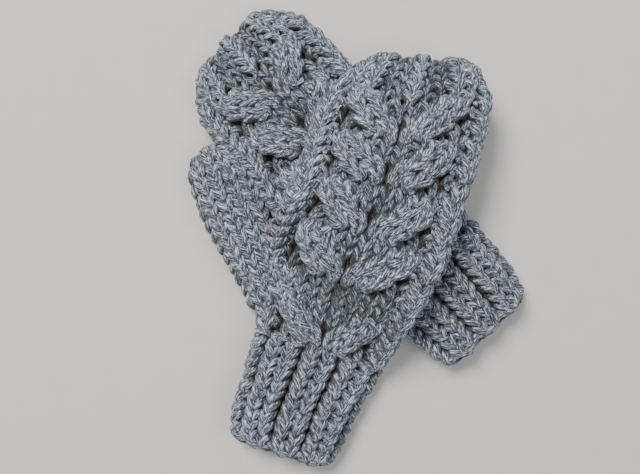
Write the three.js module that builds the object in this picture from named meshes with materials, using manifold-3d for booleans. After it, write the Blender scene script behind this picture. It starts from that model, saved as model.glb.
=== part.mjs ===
// A pair of hand-knitted mittens in super bulky wool, lying crossed with their backs up.
// The rear one lies on the ground, and the front one lies across it, with its cuff on the ground.
// Millimetres. +X is right and +Y is up as they are seen from above, +Z points away from the ground.

import * as THREE from 'three';
import Module from 'manifold-3d';
import { mergeVertices } from 'three/addons/utils/BufferGeometryUtils.js';

const wasm = await Module();
wasm.setup();

// The fabric and what is raised on it
const THICKNESS = 20;
const SLIT = 2.4;
const WALL = (THICKNESS - SLIT) / 2;
const SEAM = 0.3;
const UNDERSIDE_SINK = 0.8;
const TOP_POWER = 2.5;
const UNDER_POWER = 4;
const TYPICAL_HALF_WIDTH = 50;

// The horseshoe cable: ropes two stitches wide that leave the middle and rise outwards, one above
// the other, with a purl groove and one plain column of stitches on each side of them
const CABLE = {
  halfWidth: 42, slope: 1, raised: 3.6, grooveWidth: 3.5, grooveDeep: 1.8, fadeOver: 8,
};

// The two hollows beside the middle column, under the tip, and the notches between its three lobes
const HOLLOW = { across: 17, belowTip: 32, wide: 7, long: 12, deep: 2.5 };
const NOTCHES = { places: [-12.5, 12.5], wide: 4, deep: 3 };

// The ribs of a cuff: seven raised ribs of two stitches around it
const RIBS = { count: 7, raised: 2.6, shift: 0.094 };

// How each mitten lies: the middle of its cast-on edge, the lean of its length from +Y, its edges to
// the left and right of its own axis, its rounded end, and where the ridge line of each rope of its
// cable would leave the middle
const FRONT = {
  name: 'front', at: [-19, -132.7], lean: 18.34,
  cuff: [
    { along: -6, left: -37, right: 27 },
    { along: 10, left: -43, right: 30.5 },
    { along: 34, left: -44, right: 33 },
    { along: 52, left: -44.5, right: 37 },
    { along: 66, left: -46.5, right: 41 },
  ],
  hand: [
    { along: 66, left: -46.5, right: 41 },
    { along: 92, left: -54.5, right: 45 },
    { along: 116, left: -58, right: 48.6 },
    { along: 140, left: -55, right: 52.4 },
    { along: 165, left: -51, right: 56.3 },
  ],
  end: { height: 91, power: 3, slant: 0.27, slantFrom: 130, slantTo: 240, tilt: 30 },
  ropes: [61, 105, 135.6, 166.2, 190.6, 215, 239],
};
const REAR = {
  name: 'rear', at: [104.3, -57.5], lean: -43,
  cuff: [
    { along: -2, left: -33, right: 32 },
    { along: 8, left: -36, right: 36 },
    { along: 30, left: -39, right: 39 },
    { along: 59, left: -41, right: 41 },
  ],
  hand: [
    { along: 59, left: -41, right: 41 },
    { along: 90, left: -44, right: 43.5 },
    { along: 125, left: -46, right: 44.5 },
    { along: 150, left: -47, right: 47 },
    { along: 178, left: -38, right: 49.5 },
    { along: 192, left: -38.5, right: 50.5 },
  ],
  end: { height: 55, power: 2.7, slant: -0.1, slantFrom: 150, slantTo: 230, tilt: 30 },
  ropes: [62, 92.6, 123.2, 154, 185, 212, 238],
};

// A thumb leaves the side of its hand: the middle of its root and its lean, in the mitten's own frame
const FRONT_THUMB = {
  root: [-47.3, 93.7], lean: -41.3, into: 10,
  sides: [
    { along: -10, left: -17, right: 17 },
    { along: 0, left: -18.5, right: 17 },
    { along: 30, left: -20.5, right: 18.5 },
    { along: 66, left: -22.5, right: 18 },
  ],
  end: { height: 27.5, power: 2.3, slant: 0, slantFrom: 0, slantTo: 1, tilt: 15 },
};
const REAR_THUMB = {
  root: [36, 92], lean: 25, into: 10,
  sides: [
    { along: -10, left: -15, right: 15 },
    { along: 0, left: -16, right: 16 },
    { along: 24, left: -16.5, right: 16.5 },
    { along: 44, left: -17, right: 17 },
  ],
  end: { height: 20, power: 2.3, slant: 0, slantFrom: 0, slantTo: 1, tilt: 15 },
};
const THUMB_THICKNESS = { front: 20, rear: 17 };

// The front mitten climbs over the side of the rear one, stays level on it and sinks a little past it.
// The places are distances across the rear mitten, to the right of its axis.
const CLIMB = { from: -70, to: -28 };
const SINK = { from: 38, to: 118, by: 9 };
const LEVEL = THICKNESS + CABLE.raised + SEAM;

// How finely each piece is divided
const HAND_MESH = { over: 44, under: 14, rings: 20, endRings: 17, innerRings: 3, innerEndRings: 4 };
const CUFF_MESH = { over: 44, under: 16, rings: 5, innerRings: 1 };
const THUMB_MESH = { over: 16, under: 10, rings: 6, endRings: 6 };

// A thumb's root keeps clear of the space that its hand fills, carried on this far below the wrist
// and down to the ground
const BELOW_WRIST = 20;
const ROOT_CLEAR = 0.5;

// Where the middle of the pair's outline lies, so that it comes to the origin
const PAIR_MIDDLE = [22.27, -2.53];

const WOOL = { color: 0x7f8790, roughness: 0.95, metalness: 0 };

const radians = (degrees) => degrees * Math.PI / 180;
const smooth = (from, to, value) => THREE.MathUtils.smoothstep(value, from, to);

// Reads one column of a table of sections at a distance along the mitten
function read(rows, column, along) {
  const last = rows.length - 1;
  let i = 0;
  while (i < last - 1 && along > rows[i + 1].along) i += 1;
  const slope = (k) => {
    const a = rows[Math.max(k - 1, 0)];
    const b = rows[Math.min(k + 1, last)];
    return (b[column] - a[column]) / (b.along - a.along);
  };
  const step = rows[i + 1].along - rows[i].along;
  const t = THREE.MathUtils.clamp((along - rows[i].along) / step, 0, 1);
  const ease = t * t * (3 - 2 * t);
  const start = step * slope(i) * t * (1 - t) ** 2;
  const finish = step * slope(i + 1) * t * t * (1 - t);
  return THREE.MathUtils.lerp(rows[i][column], rows[i + 1][column], ease) + start - finish;
}

// A quarter of a flattened section by its share of the way from the side to the crown:
// how far out it is, from 1 to 0, and how high, from 0 to 1
function quarterSection(power) {
  const steps = 240;
  const points = [];
  let length = 0;
  for (let i = 0; i <= steps; i += 1) {
    const angle = i / steps * Math.PI / 2;
    const out = Math.cos(angle) ** (2 / power);
    const up = Math.sin(angle) ** (2 / power);
    if (i > 0) {
      const before = points[i - 1];
      length += Math.hypot((out - before.out) * TYPICAL_HALF_WIDTH, (up - before.up) * THICKNESS / 2);
    }
    points.push({ out, up, length });
  }
  return (share) => {
    const wanted = THREE.MathUtils.clamp(share, 0, 1) * length;
    let i = 1;
    while (i < steps && points[i].length < wanted) i += 1;
    const a = points[i - 1];
    const b = points[i];
    const t = (wanted - a.length) / (b.length - a.length);
    return [THREE.MathUtils.lerp(a.out, b.out, t), THREE.MathUtils.lerp(a.up, b.up, t)];
  };
}
const topQuarter = quarterSection(TOP_POWER);
const underQuarter = quarterSection(UNDER_POWER);

// One point of a flattened tube with a rounded end. turn goes once around, from the right-hand side
// over the top. along runs up the tube, and past its last section rise runs from 0 to 1 to the
// point where the end is gathered, a little under the tip. inset moves the wall inwards.
function pouchPoint(shape, turn, along, rise, inset) {
  const { sides, end, thickness, relief } = shape;
  const left = read(sides, 'left', along) + inset;
  const right = read(sides, 'right', along) - inset;
  const middle = (left + right) / 2;
  const half = (right - left) / 2;
  const angle = turn * 2 * Math.PI;
  const lat = rise * Math.PI / 2;
  const tilt = end ? radians(end.tilt) * smooth(0, 1, rise) : 0;
  const flat = { x: Math.cos(angle) * Math.cos(lat), y: Math.sin(lat), z: Math.sin(angle) * Math.cos(lat) };
  const y = flat.y * Math.cos(tilt) + flat.z * Math.sin(tilt);
  const z = flat.z * Math.cos(tilt) - flat.y * Math.sin(tilt);
  const share = Math.asin(THREE.MathUtils.clamp(Math.abs(z), 0, 1)) / (Math.PI / 2);
  const [out, up] = z >= 0 ? topQuarter(share) : underQuarter(share);
  const flatLength = Math.hypot(flat.x, y) || 1;
  const outX = flat.x / flatLength;
  const outY = y / flatLength;
  const reach = end ? (Math.abs(outX) ** end.power + Math.abs(outY) ** end.power) ** (-1 / end.power) : 1;
  const across = half * out * outX * reach;
  const climb = rise > 0 ? out * outY * reach : 0;
  const forward = along + climb * (end ? end.height - inset : 0);
  const halfThick = inset > 0 ? SLIT / 2 : thickness / 2 - inset;
  let raised = 0;
  if (relief && inset <= 0 && z > 0) raised = relief(across * (half + inset) / half, forward, turn);
  const sink = inset <= 0 && z < 0 ? UNDERSIDE_SINK : 0;
  let height = thickness / 2 + (z >= 0 ? up * halfThick : -up * (halfThick + sink)) + raised * up;
  if (inset <= 0) height = Math.max(height, inset);
  const sideways = raised * (1 - up) * Math.sign(outX || 1);
  let slanted = forward;
  if (end) {
    slanted -= notchDepth(shape, across) * smooth(0.8, 1, out) * smooth(0, 0.5, rise);
    slanted += end.slant * smooth(end.slantFrom, end.slantTo, forward) * across;
  }
  return [middle + across + sideways, slanted, height];
}

function notchDepth(shape, across) {
  if (!shape.notches) return 0;
  return NOTCHES.places.reduce((sum, place) => {
    return sum + NOTCHES.deep * Math.exp(-(((across - place) / NOTCHES.wide) ** 2));
  }, 0);
}

// How many ropes leave the middle below a place. It is a whole number on a rope's ridge.
function ropeCount(ropes, place) {
  let i = 0;
  while (i < ropes.length - 2 && place > ropes[i + 1]) i += 1;
  return i + (place - ropes[i]) / (ropes[i + 1] - ropes[i]);
}

// How far the back of a hand is raised by the cable's ropes, or sunk at its grooves and hollows
function cableRelief(ropes, wrist, tip) {
  return (across, forward) => {
    const out = Math.abs(across);
    const count = ropeCount(ropes, forward - out * CABLE.slope);
    const rope = CABLE.raised * (1 - (0.5 - 0.5 * Math.cos(count * 2 * Math.PI)) ** 2);
    const fade = smooth(wrist, wrist + CABLE.fadeOver, forward);
    const inside = 1 - smooth(CABLE.halfWidth - CABLE.grooveWidth, CABLE.halfWidth, out);
    const groove = Math.exp(-(((out - CABLE.halfWidth) / CABLE.grooveWidth) ** 2));
    const beside = (out - HOLLOW.across) / HOLLOW.wide;
    const below = (forward - tip + HOLLOW.belowTip) / HOLLOW.long;
    const hollow = Math.exp(-(beside ** 2) - (below ** 2));
    return (rope * inside - CABLE.grooveDeep * groove) * fade - (rope * inside + HOLLOW.deep) * hollow;
  };
}

function ribRelief(across, forward, turn) {
  const wave = 0.5 + 0.5 * Math.cos((turn - RIBS.shift) * RIBS.count * 2 * Math.PI);
  return RIBS.raised * (1 - (1 - wave) ** 2) - RIBS.raised;
}

// The turns at which the points of a ring stand, closer together over the top
function ringTurns(mesh) {
  const turns = [];
  for (let i = 0; i < mesh.over; i += 1) turns.push(0.5 * i / mesh.over);
  for (let i = 0; i < mesh.under; i += 1) turns.push(0.5 + 0.5 * i / mesh.under);
  return turns;
}

// The rings of one wall, from the open end to the closed one, as [along, rise] pairs
function ringPlaces(from, to, rings, endRings) {
  const places = [];
  for (let i = 0; i <= rings; i += 1) places.push([from + (to - from) * i / rings, 0]);
  for (let i = 1; i < endRings; i += 1) places.push([to, i / endRings]);
  return places;
}

// Joins rings of points into faces. A ring that ends in a point is closed by a fan. The faces'
// diagonals rise away from the middle on both sides, as the ropes do.
function skin(mesh, ringCount, first, tipIndex, inward) {
  const ringSize = mesh.over + mesh.under;
  const faces = [];
  const add = (a, b, c) => faces.push(...(inward ? [a, b, c] : [a, c, b]));
  for (let r = 0; r < ringCount - 1; r += 1) {
    for (let i = 0; i < ringSize; i += 1) {
      const next = (i + 1) % ringSize;
      const a = first + r * ringSize + i;
      const b = first + r * ringSize + next;
      const diagonal = i < mesh.over / 2 ? [b, a + ringSize] : [a, b + ringSize];
      add(a, b, diagonal[1]);
      add(diagonal[0], b + ringSize, a + ringSize);
    }
  }
  if (tipIndex !== null) {
    const last = first + (ringCount - 1) * ringSize;
    for (let i = 0; i < ringSize; i += 1) add(last + i, last + (i + 1) % ringSize, tipIndex);
  }
  return faces;
}

// Joins the edge of the outside to the edge of the inside, at the open start or end of a wall
function band(ringSize, outer, inner, atEnd) {
  const faces = [];
  for (let i = 0; i < ringSize; i += 1) {
    const next = (i + 1) % ringSize;
    const quad = [outer + i, inner + i, inner + next, outer + next];
    if (!atEnd) quad.reverse();
    faces.push(quad[0], quad[1], quad[2], quad[0], quad[2], quad[3]);
  }
  return faces;
}

function geometryFrom(points, faces) {
  const geometry = new THREE.BufferGeometry();
  geometry.setAttribute('position', new THREE.Float32BufferAttribute(points.flat(), 3));
  geometry.setIndex(faces);
  return geometry;
}

// A closed pouch of solid, for the outside of a thumb, its hollow and the space that a hand fills.
// It starts that far before the first of the rings that the mesh gives.
function solidPouch(shape, mesh, from, before, inset) {
  const turns = ringTurns(mesh);
  const to = shape.sides.at(-1).along;
  const places = [[from - before, 0], ...ringPlaces(from, to, mesh.rings, mesh.endRings)];
  const points = places.flatMap(([along, rise]) => turns.map((turn) => pouchPoint(shape, turn, along, rise, inset)));
  const tip = points.push(pouchPoint(shape, 0, to, 1, inset)) - 1;
  const faces = skin(mesh, places.length, 0, tip, false);
  const start = points.slice(0, turns.length);
  const middle = [0, 1, 2].map((k) => start.reduce((sum, p) => sum + p[k], 0) / start.length);
  const root = points.push(middle) - 1;
  for (let i = 0; i < turns.length; i += 1) faces.push(i, (i + 1) % turns.length, root);
  return { points, faces };
}

// The wall of a hand: an outside, a plain inside, and the band that joins them at the wrist
function handWall(shape) {
  const turns = ringTurns(HAND_MESH);
  const size = turns.length;
  const from = shape.sides[0].along + SEAM / 2;
  const to = shape.sides.at(-1).along;
  const outerPlaces = ringPlaces(from, to, HAND_MESH.rings, HAND_MESH.endRings);
  const innerPlaces = ringPlaces(from, to, HAND_MESH.innerRings, HAND_MESH.innerEndRings);
  const points = [];
  outerPlaces.forEach(([along, rise]) => turns.forEach((turn) => points.push(pouchPoint(shape, turn, along, rise, 0))));
  const outerTip = points.push(pouchPoint(shape, 0, to, 1, 0)) - 1;
  const inner = points.length;
  innerPlaces.forEach(([along, rise]) => turns.forEach((turn) => points.push(pouchPoint(shape, turn, along, rise, WALL))));
  const innerTip = points.push(pouchPoint(shape, 0, to, 1, WALL)) - 1;
  const faces = [
    ...skin(HAND_MESH, outerPlaces.length, 0, outerTip, false),
    ...skin(HAND_MESH, innerPlaces.length, inner, innerTip, true),
    ...band(size, 0, inner, false),
  ];
  return { points, faces };
}

// The wall of a cuff, open at both ends
function cuffWall(shape) {
  const turns = ringTurns(CUFF_MESH);
  const size = turns.length;
  const from = shape.sides[0].along;
  const to = shape.sides.at(-1).along - SEAM / 2;
  const outerPlaces = ringPlaces(from, to, CUFF_MESH.rings, 0);
  const innerPlaces = ringPlaces(from, to, CUFF_MESH.innerRings, 0);
  const points = [];
  outerPlaces.forEach(([along]) => turns.forEach((turn) => points.push(pouchPoint(shape, turn, along, 0, 0))));
  const inner = points.length;
  innerPlaces.forEach(([along]) => turns.forEach((turn) => points.push(pouchPoint(shape, turn, along, 0, WALL))));
  const faces = [
    ...skin(CUFF_MESH, outerPlaces.length, 0, null, false),
    ...skin(CUFF_MESH, innerPlaces.length, inner, null, true),
    ...band(size, 0, inner, false),
    ...band(size, (outerPlaces.length - 1) * size, inner + (innerPlaces.length - 1) * size, true),
  ];
  return { points, faces };
}

// Turns and moves a point of the plan: first into the mitten's frame, then into the pair's
function planMove([x, y], at, lean) {
  const angle = radians(lean);
  return [
    at[0] + x * Math.cos(angle) + y * Math.sin(angle),
    at[1] - x * Math.sin(angle) + y * Math.cos(angle),
  ];
}

// How high the front mitten's underside lies at a point of the plan
function frontLift(x, y) {
  const angle = radians(REAR.lean);
  const across = (x - REAR.at[0]) * Math.cos(angle) - (y - REAR.at[1]) * Math.sin(angle);
  return LEVEL * smooth(CLIMB.from, CLIMB.to, across) - SINK.by * smooth(SINK.from, SINK.to, across);
}

function place(points, mitten) {
  return points.map(([x, y, z]) => {
    const [px, py] = planMove([x, y], mitten.at, mitten.lean);
    const lift = mitten.name === 'front' ? frontLift(px, py) : 0;
    return [px - PAIR_MIDDLE[0], py - PAIR_MIDDLE[1], z + lift];
  });
}

// A thumb's points, in its mitten's frame and then in the pair's. A thumb lies level on the ground.
function placeThumb(points, thumb, mitten) {
  return points.map(([x, y, z]) => {
    const [tx, ty] = planMove([x, y], thumb.root, thumb.lean);
    const [px, py] = planMove([tx, ty], mitten.at, mitten.lean);
    return [px - PAIR_MIDDLE[0], py - PAIR_MIDDLE[1], z];
  });
}

function toManifold({ points, faces }) {
  const merged = mergeVertices(geometryFrom(points, faces), 1e-4);
  const vertProperties = new Float32Array(merged.attributes.position.array);
  const triVerts = new Uint32Array(merged.index.array);
  return new wasm.Manifold(new wasm.Mesh({ numProp: 3, vertProperties, triVerts }));
}

function fromManifold(solid) {
  const { vertProperties, triVerts, numProp } = solid.getMesh();
  const points = [];
  for (let i = 0; i < vertProperties.length; i += numProp) points.push([...vertProperties.slice(i, i + 3)]);
  return { points, faces: [...triVerts] };
}

function pieceMesh(name, { points, faces }) {
  const geometry = geometryFrom(points, faces);
  geometry.computeVertexNormals();
  const mesh = new THREE.Mesh(geometry, new THREE.MeshStandardMaterial(WOOL));
  mesh.name = name;
  return mesh;
}

// One mitten: its cuff, its hand with the thumb's hollow opened into it, and its thumb, whose root
// follows the side of the hand
function buildMitten(mitten, thumb) {
  const wristAlong = mitten.hand[0].along;
  const tip = mitten.hand.at(-1).along + mitten.end.height;
  const relief = cableRelief(mitten.ropes, wristAlong, tip);
  const handShape = { sides: mitten.hand, end: mitten.end, thickness: THICKNESS, relief, notches: true };
  const cuffShape = { sides: mitten.cuff, end: null, thickness: THICKNESS, relief: ribRelief };
  const thumbShape = { sides: thumb.sides, end: thumb.end, thickness: THUMB_THICKNESS[mitten.name] };

  const cuff = { ...cuffWall(cuffShape) };
  cuff.points = place(cuff.points, mitten);

  const wall = handWall(handShape);
  const wrist = handShape.sides[0].along + SEAM / 2;
  const clear = solidPouch(handShape, HAND_MESH, wrist, BELOW_WRIST, -ROOT_CLEAR);
  const below = clear.points.map(([x, y, z]) => [x, y, z < THICKNESS / 2 ? z - LEVEL - THICKNESS : z]);
  const outside = solidPouch(thumbShape, THUMB_MESH, 0, thumb.into, 0);
  const hollow = solidPouch(thumbShape, THUMB_MESH, 0, 2 * thumb.into, WALL);

  const handSolid = toManifold({ points: place(wall.points, mitten), faces: wall.faces });
  const clearSolid = toManifold({ points: place(clear.points, mitten), faces: clear.faces });
  const belowSolid = toManifold({ points: place(below, mitten), faces: clear.faces });
  const outsideSolid = toManifold({ points: placeThumb(outside.points, thumb, mitten), faces: outside.faces });
  const hollowSolid = toManifold({ points: placeThumb(hollow.points, thumb, mitten), faces: hollow.faces });

  const group = new THREE.Group();
  group.add(pieceMesh(`${mitten.name}_cuff`, cuff));
  group.add(pieceMesh(`${mitten.name}_hand`, fromManifold(handSolid.subtract(hollowSolid))));
  const thumbSolid = outsideSolid.subtract(clearSolid).subtract(belowSolid).subtract(hollowSolid);
  group.add(pieceMesh(`${mitten.name}_thumb`, fromManifold(thumbSolid)));
  return group;
}

const pair = new THREE.Group();
pair.add(buildMitten(REAR, REAR_THUMB));
pair.add(buildMitten(FRONT, FRONT_THUMB));

export default pair;
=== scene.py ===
# The look of a pair of hand-knitted mittens in super bulky wool, lying crossed on a pale floor.
# Every stitch is a loop of yarn of its own, laid on a form within a few millimetres of the solids.
# Lengths are millimetres until a mesh is made. +X is right and +Y is up as seen from above.
import math

import bpy
import numpy as np
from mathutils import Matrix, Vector


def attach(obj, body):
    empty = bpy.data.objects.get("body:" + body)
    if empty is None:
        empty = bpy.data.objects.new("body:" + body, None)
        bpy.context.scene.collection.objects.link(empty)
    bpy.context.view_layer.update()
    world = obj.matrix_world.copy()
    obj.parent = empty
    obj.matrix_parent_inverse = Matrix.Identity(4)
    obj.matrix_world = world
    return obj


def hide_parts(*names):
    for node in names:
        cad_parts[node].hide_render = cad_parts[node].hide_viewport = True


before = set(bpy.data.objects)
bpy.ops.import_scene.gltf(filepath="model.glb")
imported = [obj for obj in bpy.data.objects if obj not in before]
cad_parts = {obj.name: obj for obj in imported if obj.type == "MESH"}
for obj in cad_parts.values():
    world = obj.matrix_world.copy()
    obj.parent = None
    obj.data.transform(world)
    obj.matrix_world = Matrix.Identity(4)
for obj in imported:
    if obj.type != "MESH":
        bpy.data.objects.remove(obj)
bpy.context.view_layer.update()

METRES = 0.001
RANDOM = np.random.default_rng(11)

# The flattened tube that every stretch of fabric is. The powers shape its section above and below.
THICKNESS = 20.0
TOP_POWER = 2.5
UNDER_POWER = 4.0
TYPICAL_HALF_WIDTH = 50.0
RAISED = 3.6
SEAM = 0.3
MOST_DEPTH = 9.0
NOTCHES = {"places": (-12.5, 12.5), "wide": 4.0, "deep": 1.6, "outer_share": (0.8, 1), "rise": (0, 0.5)}

# How each mitten lies. cuff, hand and sides have columns (along, left edge, right edge), close to
# those of the solids, and hand_rows has (row of stitches, its distance from the start of the hand).
# rope_starts and decreases are rows.
FRONT = {
    "name": "front",
    "at": (-19.0, -132.7),
    "lean": 18.34,
    "cuff": [(-6, -36, 27), (10, -42, 30.5), (34, -43, 33), (52, -43.5, 37), (66, -45, 41)],
    "hand": [(66, -45, 41), (92, -54, 45), (116, -58, 50), (140, -55, 54), (165, -51, 53.5)],
    "end": {
        "height": 91.5, "power": 3.6, "slant": 0.295, "slant_from": 130, "slant_to": 240, "tilt": 30,
    },
    "hand_rows": [(0, 0), (6.6, 48.6), (10.6, 79.2), (14.6, 109.8), (18.6, 134.2), (28.6, 201.0)],
    "rope_starts": [-3.4, 0.6, 6.6, 10.6, 14.6, 18.6],
    "decreases": [21, 28],
}
REAR = {
    "name": "rear",
    "at": (104.3, -57.5),
    "lean": -43.0,
    "cuff": [(-4, -33, 32), (8, -36, 36), (30, -39, 39), (59, -41, 41)],
    "hand": [
        (59, -41, 41), (90, -44, 43.5), (125, -48, 44.5), (150, -50, 47), (178, -45, 52), (192, -46, 53),
    ],
    "end": {
        "height": 54.0, "power": 2.75, "slant": 0.07, "slant_from": 150, "slant_to": 230, "tilt": 30,
    },
    "hand_rows": [
        (0, 0), (1.6, 12.6), (5.6, 43.2), (9.6, 73.8), (13.6, 104.6), (17.6, 135.6), (27.8, 199.5),
    ],
    "rope_starts": [-2.4, 1.6, 5.6, 9.6, 13.6, 17.6],
    "decreases": [20, 26],
}
FRONT_THUMB = {
    "root": (-47.3, 93.7),
    "lean": -41.3,
    "sides": [(-10, -16, 17), (0, -16.5, 17.5), (30, -20, 20), (56, -22.6, 20), (66, -21.5, 20)],
    "end": {"height": 27.5, "power": 2.3, "slant": 0, "slant_from": 0, "slant_to": 1, "tilt": 15},
    "thickness": 20.0,
}
REAR_THUMB = {
    "root": (36.0, 92.0),
    "lean": 25.0,
    "sides": [(-10, -15, 15), (0, -16, 16), (24, -16.5, 16.5), (44, -17, 17)],
    "end": {"height": 20.0, "power": 2.3, "slant": 0, "slant_from": 0, "slant_to": 1, "tilt": 15},
    "thickness": 17.0,
}

# The front mitten climbs onto the rear one and sinks beyond it, across the rear one's middle line
CLIMB = (-70.0, -28.0)
SINK = (38.0, 118.0)
SINK_BY = 9.0
LEVEL = THICKNESS + RAISED + SEAM

# The middle of the pair's outline, which is the part's origin
PAIR_MIDDLE = (22.27, -2.53)

# The yarn and its stitches. YARN is its radius. The numbers of a loop are shares of a stitch's
# width and of a row. The yarn is thinner in small stitches and thicker in large ones.
YARN = 2.5
YARN_SHARE = {"least_knit": 0.6, "least_purl": 0.85, "most": 1.4}
TWIST = 0.16
GRAIN_RUN = 400
CAP_ROUND = 0.4
PLAIN_LOOP = {"sway": 0.325, "half_height": 0.83}
ROPE_LOOP = {"sway": 0.29, "half_height": 0.92}
LOOP = {"plump": 0.14, "back_depth": 1.6}
TOP_TUBE = {"steps": 22, "sides": 8}
UNDER_TUBE = {"steps": 14, "sides": 6}
JITTER = {"across": 0.3, "along": 0.05, "depth": 0.3, "thick": 0.06}
FLOOR_GAP = 0.05
# Painted shade: the deeper a loop lies under the surface, the darker its colour, by up to darker at depth
PAINTED_DEPTH_SHADE = {"depth": 5.5, "darker": 0.3}
CUFF_ROWS = [(0, 4.8), (10, 73.5)]
THUMB_ROWS = [(0, 0), (10, 76)]
THUMB_STITCHES = {"width": 9.8, "least": 8}
USUAL_STITCH = {"width": 9.0, "height": 6.6}
UNDER_DEPTH = 0.5
SLOPE_STEP = {"rows": 0.2, "turns": 0.01}

# The lining under the stitches, and how many points it has
LINING = {"outer": 6.8, "inner": 8.6, "around": 48, "along": 26, "short_of_tip": 2}

# Where the stitches run around a hand, in turns from its right-hand side over its back
BACK_MIDDLE = 0.25
BACK_TURNS = (-0.05, 0.55)
CABLE = {"half": 0.166, "plain_depth": 0.9}
GROOVE = {"from_middle": 0.1735, "width": 0.017, "depth": 0.9}
FRAME = {"from_middle": 0.2095, "width": 0.055, "depth": -0.8}
PALM_STITCHES = 13

# The cable has two pairs of stitches on each side of its middle. At each start of a rope the inner
# pair goes outward in front of the outer one, which moves inward behind it. rows, rise (from the
# rope's start) and fall (from its finish) are counts of rows, and so are all values of BEHIND.
ROPE = {
    "rows": 2.7, "turn_back": 1.25, "rise": (-0.6, 0.5), "fall": (-0.4, 0.9),
    "raised": 3.3, "deep": 3.0, "bow": 2.4, "plain_bow": 0.8,
}
BEHIND = {"from": -0.45, "to": 1.6, "width": 0.9}

# The wide columns left on the back after the first decrease: from the middle, width and depth
TIP_COLUMNS = [
    (0.044, 0.038, 2.2),
    (0.082, 0.038, 2.2),
    (0.120, 0.038, -0.6),
    (0.158, 0.038, -0.8),
    (0.207, 0.060, 0.2),
]
TIP_MIDDLE = {"width": 0.050, "depth": -0.8}

# The ribs of a cuff and the links of its cast-on edge
RIBS = {
    "count": 7, "shift": 0.094, "knit": 0.058, "purl": 0.0134,
    "purl_depth": 5.6, "raised": 1.4, "bow": 2.7, "crest": 0.60,
}
CAST_ON = {
    "links": 28, "steps": 9, "reach": 0.9, "slant": 1.7, "outward": 3.6, "uneven": 0.3,
    "scallop": 2.4, "sunk": 1.0, "dip": 1.3, "taper": 0.25, "painted_shade_ends": 0.2,
}

# Tones of the wool's fibres, the lining and the floor: (place in the pattern, colour). The lining's
# dark tones are painted shade between the stitches and inside the cuffs.
WOOL_TONES = [
    (0.37, (0.020, 0.025, 0.034, 1)),
    (0.505, (0.118, 0.136, 0.166, 1)),
    (0.665, (0.80, 0.88, 0.98, 1)),
]
LINING_PAINTED_SHADE_TONES = [(0.0, (0.008, 0.009, 0.011, 1)), (1.0, (0.14, 0.155, 0.18, 1))]
FLOOR_TONES = [(0.0, (0.70, 0.68, 0.65, 1)), (1.0, (0.76, 0.74, 0.71, 1))]

# The wool's surface, how much darker its colour is painted by how openly it lies (painted shade),
# and how its fibres are stretched
WOOL_SURFACE = {
    "Roughness": 0.92, "Specular IOR Level": 0.25, "Sheen Weight": 0.25, "Sheen Roughness": 0.6,
}
CREASE_SHADE = {"From Min": 0.69, "From Max": 0.99, "To Min": 0.015, "To Max": 1.0}
FIBRE_STRETCH = (1.0, 1.0, 0.17)

# The studio. The camera looks straight down from where the photo was taken.
CAMERA = {
    "across": -PAIR_MIDDLE[0], "along": -PAIR_MIDDLE[1],
    "height": 450.0, "view_width": 412.8, "sensor": 36.0,
}
FLOOR = {"size_m": 4.0, "below_m": 0.0002}
LIGHTS = [
    {"name": "key", "place": (-0.55, 0.75, 1.2), "size": 0.7, "power": 26.0, "colour": (1.0, 0.98, 0.95)},
    {"name": "fill", "place": (0.9, -0.5, 1.1), "size": 1.2, "power": 6.0, "colour": (0.95, 0.97, 1.0)},
]
SKY = {"Color": (0.93, 0.96, 1.0, 1), "Strength": 0.35}


def smooth(low, high, value):
    """0 below low, 1 above high, and a soft step between."""
    t = np.clip((np.asarray(value, float) - low) / (high - low), 0, 1)
    return t * t * (3 - 2 * t)


def read(rows, column, along):
    """One column of a table of sections at a distance along the mitten."""
    table = np.array(rows, float)
    places, values = table[:, 0], table[:, column]
    last = len(rows) - 1
    i = np.clip(np.searchsorted(places[1:-1], along, side="left"), 0, last - 1)
    before = np.maximum(np.arange(last + 1) - 1, 0)
    after = np.minimum(np.arange(last + 1) + 1, last)
    slope = (values[after] - values[before]) / (places[after] - places[before])
    step = places[i + 1] - places[i]
    t = np.clip((along - places[i]) / step, 0, 1)
    ease = t * t * (3 - 2 * t)
    start = step * slope[i] * t * (1 - t) ** 2
    finish = step * slope[i + 1] * t * t * (1 - t)
    return values[i] + (values[i + 1] - values[i]) * ease + start - finish


def quarter_section(power):
    """A quarter of a flattened section.

    It has the share of the way from the edge to the crown, and how far out and up each point is.
    """
    points = 241
    angle = np.linspace(0, math.pi / 2, points)
    out = np.cos(angle).clip(0) ** (2 / power)
    up = np.sin(angle) ** (2 / power)
    steps = np.hypot(np.diff(out) * TYPICAL_HALF_WIDTH, np.diff(up) * THICKNESS / 2)
    length = np.concatenate([[0], np.cumsum(steps)])
    return length / length[-1], out, up


TOP_QUARTER = quarter_section(TOP_POWER)
UNDER_QUARTER = quarter_section(UNDER_POWER)


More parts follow.
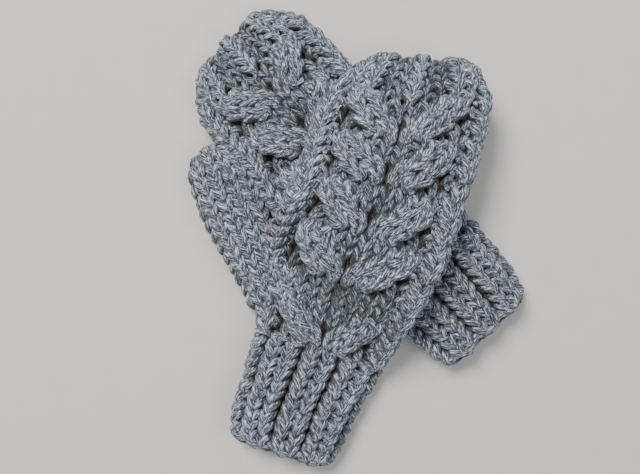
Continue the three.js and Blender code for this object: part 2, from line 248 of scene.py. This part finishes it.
def pouch_point(shape, turn, along, rise, depth):
    """Points of a flattened tube with a rounded end, that far under its surface, in its own frame."""
    turn, along, rise, depth = np.broadcast_arrays(
        *(np.asarray(x, float) for x in (turn, along, rise, depth))
    )
    end = shape["end"]
    depth = np.minimum(depth, MOST_DEPTH * shape["thickness"] / THICKNESS)
    left = read(shape["sides"], 1, along) + depth
    right = read(shape["sides"], 2, along) - depth
    middle, half = (left + right) / 2, (right - left) / 2
    angle, lat = turn * 2 * math.pi, rise * math.pi / 2
    tilt = math.radians(end["tilt"]) * smooth(0, 1, rise) if end else 0 * rise
    flat_x = np.cos(angle) * np.cos(lat)
    flat_y = np.sin(lat)
    flat_z = np.sin(angle) * np.cos(lat)
    y = flat_y * np.cos(tilt) + flat_z * np.sin(tilt)
    z = flat_z * np.cos(tilt) - flat_y * np.sin(tilt)
    share = np.arcsin(np.clip(np.abs(z), 0, 1)) / (math.pi / 2)
    above = z >= 0
    out = np.where(above, np.interp(share, *TOP_QUARTER[:2]), np.interp(share, *UNDER_QUARTER[:2]))
    up = np.where(
        above,
        np.interp(share, TOP_QUARTER[0], TOP_QUARTER[2]),
        np.interp(share, UNDER_QUARTER[0], UNDER_QUARTER[2]),
    )
    length = np.maximum(np.hypot(flat_x, y), 1e-9)
    out_x, out_y = flat_x / length, y / length
    reach = 1.0
    if end:
        reach = (np.abs(out_x) ** end["power"] + np.abs(out_y) ** end["power"]) ** (-1 / end["power"])
    across = half * out * out_x * reach
    height = end["height"] - depth if end else 0.0
    forward = along + np.where(rise > 0, out * out_y * reach, 0) * height
    half_thick = shape["thickness"] / 2 - depth
    tall = shape["thickness"] / 2 + np.where(above, up, -up) * half_thick
    if end:
        slanted = end["slant"] * smooth(end["slant_from"], end["slant_to"], forward) * across
        if shape["notches"]:
            near_edge = smooth(*NOTCHES["outer_share"], out) * smooth(*NOTCHES["rise"], rise)
            for place in NOTCHES["places"]:
                dip = np.exp(-(((across - place) / NOTCHES["wide"]) ** 2))
                forward = forward - NOTCHES["deep"] * dip * near_edge
        forward = forward + slanted
    return np.stack([middle + across, forward, tall], -1)


def plan_move(x, y, at, lean):
    """Turns a plan clockwise by lean and moves it to its place."""
    angle = math.radians(lean)
    moved_x = at[0] + x * math.cos(angle) + y * math.sin(angle)
    moved_y = at[1] - x * math.sin(angle) + y * math.cos(angle)
    return moved_x, moved_y


def front_lift(x, y):
    """How high the front mitten's underside lies at a point of the plan, by its place over the rear one."""
    angle = math.radians(REAR["lean"])
    across = (x - REAR["at"][0]) * math.cos(angle) - (y - REAR["at"][1]) * math.sin(angle)
    return LEVEL * smooth(*CLIMB, across) - SINK_BY * smooth(*SINK, across)


class Fabric:
    """One knitted stretch: turns around it, rows along it, and depths under its surface."""

    AROUND_POINTS = 400
    END_POINTS = 300

    def __init__(
        self, name, mitten, sides, rows, end=None, thickness=THICKNESS, thumb=None, notches=False
    ):
        self.name = name
        self.row_table = np.array(rows, float)
        self.mitten = mitten
        self.thumb = thumb
        self.shape = {"sides": sides, "end": end, "thickness": thickness, "notches": notches}
        self.start = sides[0][0]
        self.straight_end = sides[-1][0]
        self.around = self.measure_around(YARN)
        self.rises, self.rise_lengths = self.measure_end(YARN)
        self.length = self.straight_end - self.start + self.rise_lengths[-1]

    def measure_around(self, depth):
        """How far it is around the middle of the stretch, that deep under its surface."""
        turns = np.linspace(0, 1, self.AROUND_POINTS)
        points = pouch_point(self.shape, turns, (self.start + self.straight_end) / 2, 0, depth)
        return float(np.linalg.norm(np.diff(points, axis=0), axis=1).sum())

    def measure_end(self, depth):
        """The way over the rounded end: how far up it each point is, and the length up to there."""
        if not self.shape["end"]:
            return np.array([0.0, 1.0]), np.array([0.0, 1e-6])
        rises = np.linspace(0, 1, self.END_POINTS)
        points = pouch_point(self.shape, BACK_MIDDLE, self.straight_end, rises, depth)
        steps = np.linalg.norm(np.diff(points, axis=0), axis=1)
        return rises, np.concatenate([[0], np.cumsum(steps)])

    def cut(self):
        """The flat fabric: width all round and length in metres, and area with a rounded tip."""
        depth = (LINING["outer"] + LINING["inner"]) / 2
        width = self.measure_around(depth) * METRES
        straight = (self.straight_end - self.start - self.distance(0)) * METRES
        end = float(self.measure_end(depth)[1][-1]) * METRES
        return width, straight + end, width * (straight + end * math.pi / 4)

    def point(self, turn, distance, depth):
        """A place on the fabric, in the part's frame, at a distance from the start of the stretch."""
        along = np.minimum(self.start + distance, self.straight_end)
        beyond = np.maximum(self.start + distance - self.straight_end, 0)
        rise = np.interp(beyond, self.rise_lengths, self.rises)
        rise = np.where(beyond > 0, rise, 0)
        local = pouch_point(self.shape, turn, along, rise, depth)
        x, y, z = local[..., 0], local[..., 1], local[..., 2]
        if self.thumb:
            x, y = plan_move(x, y, self.thumb["root"], self.thumb["lean"])
        x, y = plan_move(x, y, self.mitten["at"], self.mitten["lean"])
        if self.mitten["name"] == "front" and not self.thumb:
            z = z + front_lift(x, y)
        return np.stack([x - PAIR_MIDDLE[0], y - PAIR_MIDDLE[1], z], -1)

    def distance(self, row):
        """How far from the start of the stretch a row lies. Rows beyond the table go on evenly."""
        rows, places = self.row_table.T
        low = places[0] + (row - rows[0]) * (places[1] - places[0]) / (rows[1] - rows[0])
        high = places[-1] + (row - rows[-1]) * (places[-1] - places[-2]) / (rows[-1] - rows[-2])
        inside = np.interp(row, rows, places)
        return np.where(row < rows[0], low, np.where(row > rows[-1], high, inside))

    def row(self, distance):
        """The row that lies at a distance from the start of the stretch."""
        rows, places = self.row_table.T
        beyond = (distance - places[-1]) * (rows[-1] - rows[-2]) / (places[-1] - places[-2])
        return np.interp(distance, places, rows) + np.maximum(beyond, 0)

    def outward(self, turn, distance, depth):
        """The direction out of the fabric."""
        step = 0.5
        normal = self.point(turn, distance, depth - step) - self.point(turn, distance, depth + step)
        return normal / np.maximum(np.linalg.norm(normal, axis=-1, keepdims=True), 1e-9)


class Wale:
    """A column of stitches: its middle, width and depth row by row.

    shift moves it sideways from its middle, and bow rounds the group of columns that share a middle:
    it is how much deeper the fabric lies at the group's edge, which is reach away. The group is
    highest at its crest, a share of the way from its middle to its edge.
    """

    FINE = 8
    SPARE = 2

    def __init__(
        self, first, last, turn, width, depth=0.0, shift=0.0, bow=0.0, reach=1.0, crest=0.0,
        knit=True, on_top=True, loop=PLAIN_LOOP,
    ):
        self.first = first
        self.last = last
        start, finish = first - self.SPARE, last + 1 + self.SPARE
        self.rows = np.arange(start * self.FINE, finish * self.FINE + 1) / self.FINE
        self.values = {}
        given = {"turn": turn, "width": width, "depth": depth, "shift": shift, "bow": bow}
        for name, value in given.items():
            by_row = value(self.rows) if callable(value) else np.full(len(self.rows), float(value))
            self.values[name] = by_row
        self.reach = reach
        self.crest = crest
        self.knit = knit
        self.on_top = on_top
        self.loop = loop

    def at(self, name, row):
        """One of the column's values at a row."""
        return np.interp(row, self.rows, self.values[name])


class Yarn:
    """The loops of one piece, gathered until they are made into a mesh."""

    def __init__(self):
        self.blocks = []

    def add(self, centres, normals, radius, painted_shade_share, sides, open_side=(0, 0, 1)):
        """centres and normals are (tubes, points, 3). Each tube is closed at both ends.

        A loop's colour has painted light and shade: it is lighter where the loop faces out of the fabric,
        up, or to its open side, and darker on its other sides and where it lies deep.
        """
        tubes, points = centres.shape[:2]
        tangent = np.gradient(centres, axis=1)
        tangent /= np.maximum(np.linalg.norm(tangent, axis=-1, keepdims=True), 1e-9)
        first = normals - (normals * tangent).sum(-1, keepdims=True) * tangent
        first /= np.maximum(np.linalg.norm(first, axis=-1, keepdims=True), 1e-9)
        second = np.cross(tangent, first)
        steps = np.linalg.norm(np.diff(centres, axis=1), axis=-1)
        run = np.concatenate([np.zeros((tubes, 1)), np.cumsum(steps, axis=1)], axis=1)
        angle = np.arange(sides) / sides * 2 * math.pi
        ring = first[:, :, None] * np.cos(angle)[:, None] + second[:, :, None] * np.sin(angle)[:, None]
        body = centres[:, :, None] + ring * radius[:, :, None, None]
        twisted = angle + (run * TWIST)[:, :, None]
        start = RANDOM.uniform(0, GRAIN_RUN, (tubes, 1, 1))
        fibre_places = (YARN * np.cos(twisted), YARN * np.sin(twisted), run[:, :, None] + start)
        grain = np.stack(np.broadcast_arrays(*fibre_places), -1)
        # Painted light and shade: lighter where the tube faces out, up or to its open side, darker on its
        # sides, underneath and deep in the fabric
        faces_open = np.maximum(ring[..., 2], (ring * np.asarray(open_side, float)).sum(-1))
        facing = np.maximum(np.cos(angle), faces_open)
        painted_light_share = 0.5 + 0.5 * facing - PAINTED_DEPTH_SHADE["darker"] * painted_shade_share[:, :, None]
        cap_reach = radius[:, [0, -1], None] * np.array([-CAP_ROUND, CAP_ROUND])[:, None]
        caps = centres[:, [0, -1]] + tangent[:, [0, -1]] * cap_reach
        cap_grain = grain[:, [0, -1], 0] * np.array([0, 0, 1])
        vertices = np.concatenate([body.reshape(tubes, -1, 3), caps], axis=1)
        vertices[..., 2] = np.maximum(vertices[..., 2], FLOOR_GAP)
        grains = np.concatenate([grain.reshape(tubes, -1, 3), cap_grain], axis=1)
        painted_lights = np.concatenate([painted_light_share.reshape(tubes, -1), np.zeros((tubes, 2))], axis=1)
        self.blocks.append((vertices, grains, painted_lights, *tube_faces(tubes, points, sides)))

    def mesh(self, name, material):
        """One piece of all the loops, with the places of its fibres and how open each point lies."""
        vertices, grains, painted_lights, quads, triangles = [], [], [], [], []
        count = 0
        for vertex, grain, painted_light, quad, triangle in self.blocks:
            vertices.append(vertex.reshape(-1, 3))
            grains.append(grain.reshape(-1, 3))
            painted_lights.append(painted_light.ravel())
            quads.append(quad + count)
            triangles.append(triangle + count)
            count += vertices[-1].shape[0]
        faces = (np.concatenate(quads), np.concatenate(triangles))
        piece = make_piece(name, np.concatenate(vertices), *faces, material)
        grain = piece.data.attributes.new("yarn", "FLOAT_VECTOR", "POINT")
        grain.data.foreach_set("vector", np.concatenate(grains).astype(np.float32).ravel())
        # Painted light and shade: how openly each point lies, which darkens its colour in the material
        painted_light = piece.data.attributes.new("painted_light_share", "FLOAT", "POINT")
        painted_light.data.foreach_set("value", np.concatenate(painted_lights).astype(np.float32))
        return piece


def tube_faces(tubes, points, sides):
    """The four-sided faces of the tubes and the triangles of their caps, as numbers of points."""
    ring = np.arange(points - 1)[:, None] * sides
    side = np.arange(sides)
    a = ring + side
    b = ring + (side + 1) % sides
    quads = np.stack([a, b, b + sides, a + sides], -1).reshape(-1, 4)
    start, finish = points * sides, points * sides + 1
    after = (side + 1) % sides
    last = (points - 1) * sides
    caps = np.concatenate(
        [
            np.stack([np.full(sides, start), after, side], -1),
            np.stack([np.full(sides, finish), last + side, last + after], -1),
        ]
    )
    each = np.arange(tubes)[:, None, None] * (points * sides + 2)
    return (quads + each).reshape(-1, 4), (caps + each).reshape(-1, 3)


def make_piece(name, vertices, quads, triangles, material):
    """A mesh in metres from points in millimetres, riding on the part's one body."""
    mesh = bpy.data.meshes.new(name)
    loops = np.concatenate([quads.ravel(), triangles.ravel()])
    starts = np.concatenate([np.arange(len(quads)) * 4, len(quads) * 4 + np.arange(len(triangles)) * 3])
    mesh.vertices.add(len(vertices))
    mesh.vertices.foreach_set("co", (vertices * METRES).astype(np.float32).ravel())
    mesh.loops.add(len(loops))
    mesh.loops.foreach_set("vertex_index", loops.astype(np.int32))
    mesh.polygons.add(len(starts))
    mesh.polygons.foreach_set("loop_start", starts.astype(np.int32))
    mesh.polygons.foreach_set("use_smooth", np.ones(len(starts), bool))
    mesh.update(calc_edges=True)
    mesh.materials.append(material)
    piece = bpy.data.objects.new(name, mesh)
    bpy.context.collection.objects.link(piece)
    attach(piece, "root")
    return piece


def knit_wale(yarn, fabric, wale):
    """Adds the loops of one column. A loop's feet and head lie behind, and its two legs in front."""
    tube = TOP_TUBE if wale.on_top else UNDER_TUBE
    count = wale.last - wale.first + 1
    t = np.linspace(0, 2 * math.pi, tube["steps"] + 1)
    rows = np.arange(wale.first, wale.last + 1)[:, None]
    jitter = {key: RANDOM.normal(0, size, (count, 1)) for key, size in JITTER.items()}
    sway = (t / (2 * math.pi) - 0.5) + wale.loop["sway"] * np.sin(2 * t)
    row = rows + 0.5 - wale.loop["half_height"] * np.cos(t) + jitter["along"]
    back = (1 + np.cos(2 * t)) / 2
    if not wale.knit:
        back = 1 - back
    across = sway * wale.at("width", row) * fabric.around + wale.at("shift", row)
    turn = wale.at("turn", row)
    rows_step, turn_step = SLOPE_STEP["rows"], SLOPE_STEP["turns"]
    slope_across = (wale.at("turn", row + rows_step) - wale.at("turn", row - rows_step)) * fabric.around
    slope_along = fabric.distance(row + rows_step) - fabric.distance(row - rows_step)
    length = np.hypot(slope_across, slope_along)
    from_crest = (np.abs(across / wale.reach) - wale.crest) / (1 - wale.crest)
    bowed = wale.at("bow", row) * from_crest**2
    turn = turn - (across + jitter["across"]) * slope_along / length / fabric.around
    distance = fabric.distance(row) + across * slope_across / length
    depth = wale.at("depth", row) + bowed + jitter["depth"]
    left = fabric.point(turn + turn_step, distance, depth)
    right = fabric.point(turn - turn_step, distance, depth)
    width = wale.at("width", row) * np.linalg.norm(left - right, axis=-1) / (2 * turn_step)
    height = slope_along / (2 * rows_step)
    least = YARN_SHARE["least_knit" if wale.knit else "least_purl"]
    stitch_share = np.sqrt(width * height / (USUAL_STITCH["width"] * USUAL_STITCH["height"]))
    wide = np.clip(stitch_share, least, YARN_SHARE["most"])
    depth = depth + YARN * (wide + LOOP["back_depth"] * back)
    radius = YARN * wide * (1 - LOOP["plump"] * (2 * back - 1)) * (1 + jitter["thick"])
    centres = fabric.point(turn, distance, depth)
    normals = fabric.outward(turn, distance, depth)
    # Painted shade: loops that lie deeper under the surface get a darker colour
    painted_shade_share = np.clip((depth - YARN) / PAINTED_DEPTH_SHADE["depth"], 0, 1)
    yarn.add(centres, normals, radius, painted_shade_share, tube["sides"])


def pair_at(starts, pair, row):
    """How far out one of a side's two pairs lies, from 0 to 1, how raised it is and how hidden."""
    place = np.full(len(row), float(pair))
    raised = np.zeros(len(row))
    hidden = np.zeros(len(row))
    for count, start in enumerate(starts):
        finish = start + ROPE["rows"]
        share = np.clip((row - start) / ROPE["rows"], 0, 1)
        if count % 2 == pair:
            place += 1 - (1 - share) ** ROPE["turn_back"]
            rise = smooth(start + ROPE["rise"][0], start + ROPE["rise"][1], row)
            fall = smooth(finish + ROPE["fall"][0], finish + ROPE["fall"][1], row)
            raised = np.maximum(raised, rise * (1 - fall))
        else:
            place -= smooth(start + BEHIND["from"], start + BEHIND["to"], row)
            middle = start + (BEHIND["from"] + BEHIND["to"]) / 2
            hidden = np.maximum(hidden, np.exp(-(((row - middle) / BEHIND["width"]) ** 2)))
    return place, raised, hidden


def cable_wales(fabric, last):
    """The stitches of the horseshoe cable, in two pairs to each side of the middle."""
    stitch = CABLE["half"] / 4
    starts = fabric.mitten["rope_starts"]
    wales = []
    for side in (-1, 1):
        for pair in (0, 1):
            for member in (-1, 1):

                def turn(row, side=side, pair=pair):
                    return BACK_MIDDLE - side * stitch * (1 + 2 * pair_at(starts, pair, row)[0])

                def depth(row, pair=pair):
                    _, raised, hidden = pair_at(starts, pair, row)
                    plain = CABLE["plain_depth"]
                    return plain - (ROPE["raised"] + plain) * raised + ROPE["deep"] * hidden

                def bow(row, pair=pair):
                    raised = pair_at(starts, pair, row)[1]
                    return ROPE["plain_bow"] + (ROPE["bow"] - ROPE["plain_bow"]) * raised

                reach = stitch * fabric.around
                shift = side * member * reach / 2
                wales.append(Wale(0, last, turn, stitch, depth, shift, bow, reach, loop=ROPE_LOOP))
    return wales


def joined(columns):
    """Columns of (turn, width, depth) after every two of them were knitted together."""
    return [
        ((a[0] * a[1] + b[0] * b[1]) / (a[1] + b[1]), a[1] + b[1], (a[2] + b[2]) / 2)
        for a, b in zip(columns[::2], columns[1::2])
    ]


def hand_wales(fabric):
    """The stitches of a hand, fewer and wider after each decrease towards the tip."""
    first_decrease, second_decrease = fabric.mitten["decreases"]
    end = int(fabric.row(fabric.length)) - 1
    edge = FRAME["from_middle"] + FRAME["width"] / 2
    palm = (1 - 2 * edge) / PALM_STITCHES
    palm_start = BACK_MIDDLE + edge
    palm_columns = [(palm_start + palm * (i + 0.5), palm, UNDER_DEPTH) for i in range(PALM_STITCHES)]
    back_columns = [(BACK_MIDDLE - place, width, depth) for place, width, depth in TIP_COLUMNS[::-1]]
    back_columns.append((BACK_MIDDLE, TIP_MIDDLE["width"], TIP_MIDDLE["depth"]))
    back_columns += [(BACK_MIDDLE + place, width, depth) for place, width, depth in TIP_COLUMNS]

    wales = cable_wales(fabric, first_decrease)
    for side in (-1, 1):
        for kind, knit in ((GROOVE, False), (FRAME, True)):
            place = BACK_MIDDLE - side * kind["from_middle"]
            wales.append(Wale(0, first_decrease, place, kind["width"], kind["depth"], knit=knit))
    for turn, width, depth in palm_columns:
        wales.append(Wale(0, first_decrease, turn, width, depth, on_top=False))
    columns = back_columns + joined(palm_columns)
    for turn, width, depth in columns:
        on_top = turn < palm_start
        wales.append(Wale(first_decrease + 1, second_decrease, turn, width, depth, on_top=on_top))
    for turn, width, depth in joined(columns):
        wales.append(Wale(second_decrease + 1, end, turn, width, depth, on_top=False))
    return wales


def on_back(turn):
    """Whether a column of a cuff or thumb can be seen from above."""
    return turn < BACK_TURNS[1] or turn > BACK_TURNS[0] + 1


def cuff_wales(fabric):
    """Two-by-two ribs: each is a pair of knit columns on a rounded ridge, between sunk purl ones."""
    last = round(float(fabric.row(fabric.length))) - 1
    wales = []
    for rib in range(RIBS["count"]):
        middle = RIBS["shift"] + rib / RIBS["count"]
        on_top = on_back(middle)
        reach = RIBS["knit"] * fabric.around
        depth = -RIBS["raised"] if on_top else UNDER_DEPTH
        for side in (-1, 1):
            shift = side * reach / 2
            rounding = (shift, RIBS["bow"], reach, RIBS["crest"])
            wales.append(Wale(0, last, middle, RIBS["knit"], depth, *rounding, on_top=on_top))
            purl = middle + side * (RIBS["knit"] + RIBS["purl"] / 2)
            wales.append(Wale(0, last, purl, RIBS["purl"], RIBS["purl_depth"], knit=False, on_top=on_top))
    return wales


def cast_on(yarn, fabric):
    """The cast-on edge: slanted links around the opening, drawn in where the ribs have grooves."""
    links = CAST_ON["links"]
    s = np.linspace(-1, 1, CAST_ON["steps"])
    turn = (np.arange(links)[:, None] + 0.5 + CAST_ON["reach"] * s) / links
    drawn_in = np.sin((turn - RIBS["shift"]) * RIBS["count"] * math.pi) ** 2
    for depth, lean in ((YARN, 1), (3 * YARN, -1)):
        uneven = RANDOM.normal(0, CAST_ON["uneven"], (links, 1))
        distance = CAST_ON["outward"] + lean * CAST_ON["slant"] * s + uneven
        distance = distance + CAST_ON["scallop"] * drawn_in
        depths = depth + CAST_ON["sunk"] * drawn_in + CAST_ON["dip"] * s**2
        centres = fabric.point(turn, distance, depths)
        normals = fabric.outward(turn, distance, depths)
        radius = np.broadcast_to(YARN * (1 - CAST_ON["taper"] * s**2), turn.shape)
        # Painted light and shade: a link is painted lighter where it faces out of the opening, and darker
        # towards its ends
        below = fabric.point(BACK_MIDDLE, 0, depth) - fabric.point(BACK_MIDDLE, 1, depth)
        painted_shade_share = np.zeros(turn.shape) + CAST_ON["painted_shade_ends"] * s**2
        yarn.add(centres, normals, radius, painted_shade_share, TOP_TUBE["sides"], below / np.linalg.norm(below))


def thumb_wales(fabric):
    """Plain columns all round a thumb."""
    count = max(THUMB_STITCHES["least"], round(fabric.around / THUMB_STITCHES["width"]))
    last = int(fabric.row(fabric.length)) - 1
    wales = []
    for i in range(count):
        turn = (i + 0.5) / count
        on_top = on_back(turn)
        depth = 0.0 if on_top else UNDER_DEPTH
        wales.append(Wale(0, last, turn, 1 / count, depth, on_top=on_top))
    return wales


def base_shell(fabric, name, material):
    """A thin closed lining under the loops, open where the fabric is."""
    turns = np.arange(LINING["around"]) / LINING["around"]
    closed = fabric.shape["end"] is not None
    top = fabric.length - (LINING["short_of_tip"] if closed else 0)
    distances = np.linspace(fabric.distance(0), top, LINING["along"])
    grid_turn, grid_distance = np.meshgrid(turns, distances)
    outer = fabric.point(grid_turn, grid_distance, LINING["outer"])
    inner = fabric.point(grid_turn, grid_distance, LINING["inner"])
    rings, size = outer.shape[:2]
    vertices = np.concatenate([outer.reshape(-1, 3), inner.reshape(-1, 3)])
    side = np.arange(size)
    after = (side + 1) % size
    ring = (np.arange(rings - 1) * size)[:, None]
    corners = [ring + side, ring + after, ring + size + after, ring + size + side]
    outside = np.stack(corners, -1).reshape(-1, 4)
    shift = rings * size
    inside = outside[:, ::-1] + shift
    rim = np.stack([side, side + shift, after + shift, after], -1)
    quads = [outside, inside, rim]
    triangles = np.zeros((0, 3), int)
    last = (rings - 1) * size
    if closed:
        ends = np.stack([outer[-1].mean(0), inner[-1].mean(0)])
        centre = len(vertices)
        vertices = np.concatenate([vertices, ends])
        triangles = np.concatenate(
            [
                np.stack([last + side, last + after, np.full(size, centre)], -1),
                np.stack([last + shift + after, last + shift + side, np.full(size, centre + 1)], -1),
            ]
        )
    else:
        corners = [last + side, last + after, last + shift + after, last + shift + side]
        quads.append(np.stack(corners, -1))
    return make_piece(name, vertices, np.concatenate(quads), triangles, material)


def node(tree, kind, **values):
    """A shader node. A value named in_X is set on its socket X."""
    made = tree.nodes.new(kind)
    for key, value in values.items():
        if key.startswith("in_"):
            made.inputs[key[3:]].default_value = value
        else:
            setattr(made, key, value)
    return made


def set_inputs(made, values):
    """Sets the named sockets of a shader node."""
    for socket, value in values.items():
        made.inputs[socket].default_value = value


def set_tones(ramp, tones):
    """Sets the stops of a colour ramp that has two, from the first to the last."""
    for stop, (place, colour) in zip(ramp.elements, (tones[0], tones[-1])):
        stop.position = place
        stop.color = colour
    for place, colour in tones[1:-1]:
        ramp.elements.new(place).color = colour


def wool_material():
    """Heather wool: light and dark fibres that run along the yarn with a slight twist."""
    material = bpy.data.materials.new("heather_wool")
    material.use_nodes = True
    tree = material.node_tree
    shader = tree.nodes["Principled BSDF"]
    set_inputs(shader, WOOL_SURFACE)
    link = tree.links.new

    grain = node(tree, "ShaderNodeAttribute", attribute_name="yarn")
    stretch = node(tree, "ShaderNodeMapping")
    set_inputs(stretch, {"Scale": FIBRE_STRETCH})
    link(grain.outputs["Vector"], stretch.inputs["Vector"])
    fibres = node(tree, "ShaderNodeTexNoise", in_Scale=1.8, in_Detail=3.0, in_Roughness=0.6)
    link(stretch.outputs["Vector"], fibres.inputs["Vector"])
    tones = node(tree, "ShaderNodeValToRGB")
    set_tones(tones.color_ramp, WOOL_TONES)
    link(fibres.outputs["Fac"], tones.inputs["Fac"])

    # Painted shade: the fibres' colour is scaled down where a loop faces into the fabric or lies deep
    painted_light = node(tree, "ShaderNodeAttribute", attribute_name="painted_light_share")
    shade = node(tree, "ShaderNodeMapRange", interpolation_type="SMOOTHSTEP")
    set_inputs(shade, CREASE_SHADE)
    link(painted_light.outputs["Fac"], shade.inputs["Value"])
    shaded = node(tree, "ShaderNodeVectorMath", operation="SCALE")
    link(tones.outputs["Color"], shaded.inputs[0])
    link(shade.outputs["Result"], shaded.inputs["Scale"])
    link(shaded.outputs["Vector"], shader.inputs["Base Color"])

    bump = node(tree, "ShaderNodeBump", in_Strength=0.7, in_Distance=0.0005)
    link(fibres.outputs["Fac"], bump.inputs["Height"])
    link(bump.outputs["Normal"], shader.inputs["Normal"])
    return material


def painted_shade_lining_material():
    """The inside that shows between the stitches and in the open cuffs, dark with painted shade."""
    material = bpy.data.materials.new("wool_inside_painted_shade")
    material.use_nodes = True
    tree = material.node_tree
    shader = tree.nodes["Principled BSDF"]
    set_inputs(shader, {"Roughness": 0.95})
    place = node(tree, "ShaderNodeTexCoord")
    fibres = node(tree, "ShaderNodeTexNoise", in_Scale=900.0, in_Detail=4.0, in_Roughness=0.6)
    link = tree.links.new
    link(place.outputs["Object"], fibres.inputs["Vector"])
    tones = node(tree, "ShaderNodeValToRGB")
    set_tones(tones.color_ramp, LINING_PAINTED_SHADE_TONES)
    link(fibres.outputs["Fac"], tones.inputs["Fac"])
    link(tones.outputs["Color"], shader.inputs["Base Color"])
    bump = node(tree, "ShaderNodeBump", in_Strength=0.5, in_Distance=0.0005)
    link(fibres.outputs["Fac"], bump.inputs["Height"])
    link(bump.outputs["Normal"], shader.inputs["Normal"])
    return material


def floor_material():
    material = bpy.data.materials.new("pale_floor")
    material.use_nodes = True
    tree = material.node_tree
    shader = tree.nodes["Principled BSDF"]
    set_inputs(shader, {"Roughness": 0.9})
    place = node(tree, "ShaderNodeTexCoord")
    grain = node(tree, "ShaderNodeTexNoise", in_Scale=60.0, in_Detail=4.0)
    tree.links.new(place.outputs["Object"], grain.inputs["Vector"])
    tones = node(tree, "ShaderNodeValToRGB")
    set_tones(tones.color_ramp, FLOOR_TONES)
    tree.links.new(grain.outputs["Fac"], tones.inputs["Fac"])
    tree.links.new(tones.outputs["Color"], shader.inputs["Base Color"])
    return material


def make_floor():
    bpy.ops.mesh.primitive_plane_add(size=FLOOR["size_m"], location=(0, 0, -FLOOR["below_m"]))
    floor = bpy.context.object
    floor.name = "floor"
    floor.data.materials.append(floor_material())


def area_light(name, place, size, power, colour):
    """A round light that is aimed at the part."""
    light = bpy.data.lights.new(name, "AREA")
    light.shape = "DISK"
    light.size = size
    light.energy = power
    light.color = colour
    holder = bpy.data.objects.new(name, light)
    holder.location = place
    holder.rotation_euler = Vector([-x for x in place]).to_track_quat("-Z", "Y").to_euler()
    bpy.context.collection.objects.link(holder)


def make_light():
    world = bpy.data.worlds.new("studio")
    bpy.context.scene.world = world
    world.use_nodes = True
    set_inputs(world.node_tree.nodes["Background"], SKY)
    for light in LIGHTS:
        area_light(**light)


def make_camera():
    data = bpy.data.cameras.new("camera")
    data.sensor_width = CAMERA["sensor"]
    data.lens = CAMERA["sensor"] * CAMERA["height"] / CAMERA["view_width"]
    data.clip_start = 0.01
    camera = bpy.data.objects.new("camera", data)
    camera.location = tuple(x * METRES for x in (CAMERA["across"], CAMERA["along"], CAMERA["height"]))
    bpy.context.collection.objects.link(camera)
    bpy.context.scene.camera = camera


def build_mitten(mitten, thumb_form, wool, lining):
    """The three knitted stretches of one mitten, each a lining with its stitches."""
    name = mitten["name"]
    cuff = Fabric(f"{name}_cuff", mitten, mitten["cuff"], CUFF_ROWS)
    hand = Fabric(
        f"{name}_hand", mitten, mitten["hand"], mitten["hand_rows"], mitten["end"], notches=True
    )
    thumb = Fabric(
        f"{name}_thumb", mitten, thumb_form["sides"], THUMB_ROWS, thumb_form["end"],
        thumb_form["thickness"], thumb_form,
    )
    for fabric, wales in ((cuff, cuff_wales), (hand, hand_wales), (thumb, thumb_wales)):
        shell = base_shell(fabric, fabric.name + "_fabric", lining)
        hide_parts(fabric.name)
        yarn = Yarn()
        for wale in wales(fabric):
            knit_wale(yarn, fabric, wale)
        if fabric is cuff:
            cast_on(yarn, fabric)
        stitches = yarn.mesh(fabric.name + "_stitches", wool)
        width, length, area = fabric.cut()


make_camera()
make_light()
make_floor()
wool = wool_material()
lining = painted_shade_lining_material()
build_mitten(REAR, REAR_THUMB, wool, lining)
build_mitten(FRONT, FRONT_THUMB, wool, lining)
